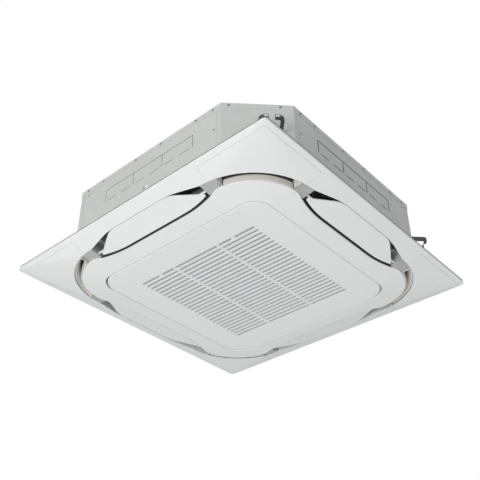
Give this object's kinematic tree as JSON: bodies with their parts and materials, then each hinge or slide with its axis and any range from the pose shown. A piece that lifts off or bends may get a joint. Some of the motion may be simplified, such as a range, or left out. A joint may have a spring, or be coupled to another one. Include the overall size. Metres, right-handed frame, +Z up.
{
  "type": "ceiling cassette air conditioner",
  "caption": "Square ceiling cassette air conditioner: white panel with swing-down air flaps, rounded ring and hinged louvred grille under a chamfered steel casing with hangers.",
  "frame": {"origin": "centre of the ceiling plane, on which the upper face of the panel's rim bears", "axes": "+Z up into the ceiling void; +Y towards the rear side, where the drain pipe leaves; +X to the right side; the near corner of the picture is at -X -Y"},
  "size_m": [0.95, 0.95, 0.26],
  "materials": {
    "panel_white": "satin",
    "panel_grey": "matte",
    "duct_beige": "matte",
    "black_plastic": "matte",
    "grey_plastic": "matte",
    "filter_mesh": "matte",
    "casing_steel": "satin",
    "zinc_steel": "satin",
    "foam": "matte",
    "dark_rubber": "matte",
    "fin_aluminium": "satin",
    "copper": "satin",
    "nut_brass": "satin",
    "fan_plastic": "satin",
    "motor_paint": "satin",
    "board_green": "satin"
  },
  "bodies": {
    "unit": {"bell_mouth": "fan_plastic", "cable_gland": "black_plastic", "casing_lining": "foam", "casing_screws": "zinc_steel", "casing_shell": "casing_steel", "circuit_board": "board_green", "coil_bends": "copper", "control_box": "casing_steel", "control_box_cover": "casing_steel", "corner_cover_front_left": "panel_white", "corner_cover_front_right": "panel_white", "corner_cover_rear_left": "panel_white", "corner_cover_rear_right": "panel_white", "drain_hose": "dark_rubber", "drain_pan": "foam", "drain_pump": "black_plastic", "drain_socket": "grey_plastic", "fan_motor": "motor_paint", "flap_motor_front": "black_plastic", "flap_motor_left": "black_plastic", "flap_motor_rear": "black_plastic", "flap_motor_right": "black_plastic", "flare_nuts": "nut_brass", "float_switch": "grey_plastic", "gas_pipe": "copper", "grille_catches": "grey_plastic", "grille_hinge_brackets": "grey_plastic", "grille_hinge_pins": "zinc_steel", "hanger_front_left": "zinc_steel", "hanger_front_right": "zinc_steel", "hanger_rear_left": "zinc_steel", "hanger_rear_right": "zinc_steel", "heat_exchanger": "fin_aluminium", "liquid_pipe": "copper", "motor_isolators": "dark_rubber", "outlet_liner_front_left": "duct_beige", "outlet_liner_front_right": "duct_beige", "outlet_liner_rear_left": "duct_beige", "outlet_liner_rear_right": "duct_beige", "outlet_seals": "dark_rubber", "panel_deck": "panel_grey", "panel_frame": "panel_white", "panel_ring": "panel_white", "panel_screws": "zinc_steel", "pipe_cover": "casing_steel", "terminal_block": "black_plastic", "top_plate": "casing_steel"},
    "fan": {"turbo_fan": "fan_plastic", "motor_shaft": "zinc_steel", "fan_nut": "zinc_steel"},
    "grille": {"suction_grille": "panel_white", "filter_frame": "black_plastic", "filter_net": "filter_mesh"},
    "float": {"float_ring": "grey_plastic"},
    "catch_left": {"catch_plunger_left": "grey_plastic"},
    "catch_right": {"catch_plunger_right": "grey_plastic"},
    "flap_right": {"flap_right": "panel_white"},
    "flap_rear": {"flap_rear": "panel_white"},
    "flap_left": {"flap_left": "panel_white"},
    "flap_front": {"flap_front": "panel_white"}
  },
  "joints": [
    {"name": "flap_right_hinge", "type": "hinge", "parent": "unit", "child": "flap_right", "pos_m": [0.388, 0, -0.0225], "axis": [0, 1, 0], "range_deg": [0, 60]},
    {"name": "flap_rear_hinge", "type": "hinge", "parent": "unit", "child": "flap_rear", "pos_m": [0, 0.388, -0.0225], "axis": [-1, 0, 0], "range_deg": [0, 60]},
    {"name": "flap_left_hinge", "type": "hinge", "parent": "unit", "child": "flap_left", "pos_m": [-0.388, 0, -0.0225], "axis": [0, -1, 0], "range_deg": [0, 60]},
    {"name": "flap_front_hinge", "type": "hinge", "parent": "unit", "child": "flap_front", "pos_m": [0, -0.388, -0.0225], "axis": [1, 0, 0], "range_deg": [0, 60]},
    {"name": "fan_spin", "type": "hinge", "parent": "unit", "child": "fan", "pos_m": [0, 0, 0.13], "axis": [0, 0, 1], "continuous": true},
    {"name": "grille_hinge", "type": "hinge", "parent": "unit", "child": "grille", "pos_m": [0, 0.296, -0.0371], "axis": [1, 0, 0], "range_deg": [0, 90]},
    {"name": "float_slide", "type": "slide", "parent": "unit", "child": "float", "axis": [0, 0, 1], "range_m": [0, 0.012]},
    {"name": "catch_left_slide", "type": "slide", "parent": "unit", "child": "catch_left", "axis": [0, 0, 1], "range_m": [0, 0.003], "stiffness_N_per_m": 150, "springref_m": -0.002},
    {"name": "catch_right_slide", "type": "slide", "parent": "unit", "child": "catch_right", "axis": [0, 0, 1], "range_m": [0, 0.003], "stiffness_N_per_m": 150, "springref_m": -0.002}
  ]
}
